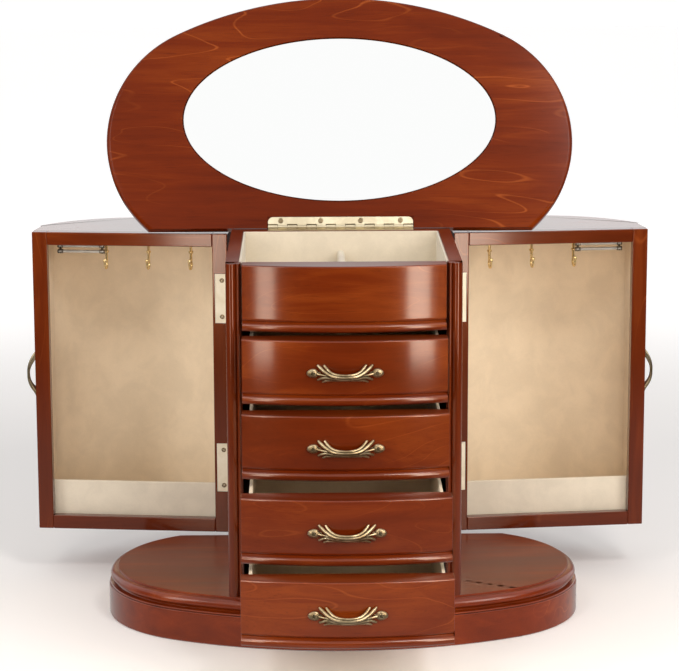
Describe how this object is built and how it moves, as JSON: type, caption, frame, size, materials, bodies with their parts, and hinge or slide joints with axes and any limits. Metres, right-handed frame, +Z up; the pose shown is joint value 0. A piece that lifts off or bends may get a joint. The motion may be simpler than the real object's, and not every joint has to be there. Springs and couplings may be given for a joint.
{
  "type": "jewelry box",
  "caption": "Free-standing wooden jewelry box: a column of drawers under a lined tray, curved side doors with hooks inside and an oval mirror lid, on an oval plinth.",
  "frame": {"origin": "centre of the plinth's underside, where the plan's two end centres have their midpoint", "axes": "+Z up, -Y towards the drawer fronts, +X to the right seen from the front"},
  "size_m": [0.5324, 0.4309, 0.4825],
  "materials": {
    "cherry_wood": "glossy lacquer over reddish cherry stain",
    "inner_wood": "satin",
    "drawer_wood": "cloth-covered thin board",
    "cream_suede": "short suede nap",
    "antique_brass": "antiqued, dark in the recesses",
    "gold_brass": "bright polished",
    "pale_brass": "satin pale plating",
    "polished_rod": "polished",
    "mirror_glass": "polished"
  },
  "bodies": {
    "case": {"base_plinth": "cherry_wood", "base_top": "cherry_wood", "left_side_panel": "cherry_wood", "right_side_panel": "cherry_wood", "back_panel": "cherry_wood", "front_posts": "cherry_wood", "tray_floor": "inner_wood", "tray_front": "cherry_wood", "tray_lining": "cream_suede", "tray_divider": "cream_suede", "dust_boards": "inner_wood", "drawer_guides": "inner_wood", "door_hinge_fixed_leaves": "pale_brass", "door_hinge_fixed_screws": "pale_brass", "door_hinge_pins": "pale_brass", "lid_hinge_fixed_leaf": "pale_brass", "lid_hinge_pin": "pale_brass"},
    "lid": {"lid_panel": "cherry_wood", "lid_mirror": "mirror_glass", "lid_hinge_leaf": "pale_brass", "lid_hinge_screws": "pale_brass"},
    "left_door": {"left_door_shell": "cherry_wood", "left_door_top_board": "cherry_wood", "left_door_bottom_board": "cherry_wood", "left_door_face_frame": "cherry_wood", "left_door_lining": "cream_suede", "left_door_pocket_panel": "cream_suede", "left_door_hooks": "gold_brass", "left_door_chain_rail": "polished_rod", "left_door_pull": "antique_brass", "left_door_hinge_leaves": "pale_brass", "left_door_hinge_screws": "pale_brass"},
    "right_door": {"right_door_shell": "cherry_wood", "right_door_top_board": "cherry_wood", "right_door_bottom_board": "cherry_wood", "right_door_face_frame": "cherry_wood", "right_door_lining": "cream_suede", "right_door_pocket_panel": "cream_suede", "right_door_hooks": "gold_brass", "right_door_chain_rail": "polished_rod", "right_door_pull": "antique_brass", "right_door_hinge_leaves": "pale_brass", "right_door_hinge_screws": "pale_brass"},
    "drawer_1": {"drawer_1_front": "cherry_wood", "drawer_1_box": "drawer_wood", "drawer_1_lining": "cream_suede", "drawer_1_pull": "antique_brass"},
    "drawer_2": {"drawer_2_front": "cherry_wood", "drawer_2_box": "drawer_wood", "drawer_2_lining": "cream_suede", "drawer_2_pull": "antique_brass"},
    "drawer_3": {"drawer_3_front": "cherry_wood", "drawer_3_box": "drawer_wood", "drawer_3_lining": "cream_suede", "drawer_3_pull": "antique_brass"},
    "drawer_4": {"drawer_4_front": "cherry_wood", "drawer_4_box": "drawer_wood", "drawer_4_lining": "cream_suede", "drawer_4_pull": "antique_brass"}
  },
  "joints": [
    {"name": "lid_hinge", "type": "hinge", "parent": "case", "child": "lid", "pos_m": [0, 0.0818, 0.3002], "axis": [1, 0, 0], "range_deg": [0, 115.4]},
    {"name": "left_door_hinge", "type": "hinge", "parent": "case", "child": "left_door", "pos_m": [-0.0904, 0.0825, 0.168], "axis": [0, 0, 1], "range_deg": [-12, 96.3]},
    {"name": "right_door_hinge", "type": "hinge", "parent": "case", "child": "right_door", "pos_m": [0.0904, 0.0825, 0.168], "axis": [0, 0, 1], "range_deg": [-96.3, 12]},
    {"name": "drawer_1_slide", "type": "slide", "parent": "case", "child": "drawer_1", "axis": [0, -1, 0], "range_m": [-0.022, 0.118]},
    {"name": "drawer_2_slide", "type": "slide", "parent": "case", "child": "drawer_2", "axis": [0, -1, 0], "range_m": [-0.045, 0.095]},
    {"name": "drawer_3_slide", "type": "slide", "parent": "case", "child": "drawer_3", "axis": [0, -1, 0], "range_m": [-0.09, 0.05]},
    {"name": "drawer_4_slide", "type": "slide", "parent": "case", "child": "drawer_4", "axis": [0, -1, 0], "range_m": [-0.122, 0.018]}
  ]
}
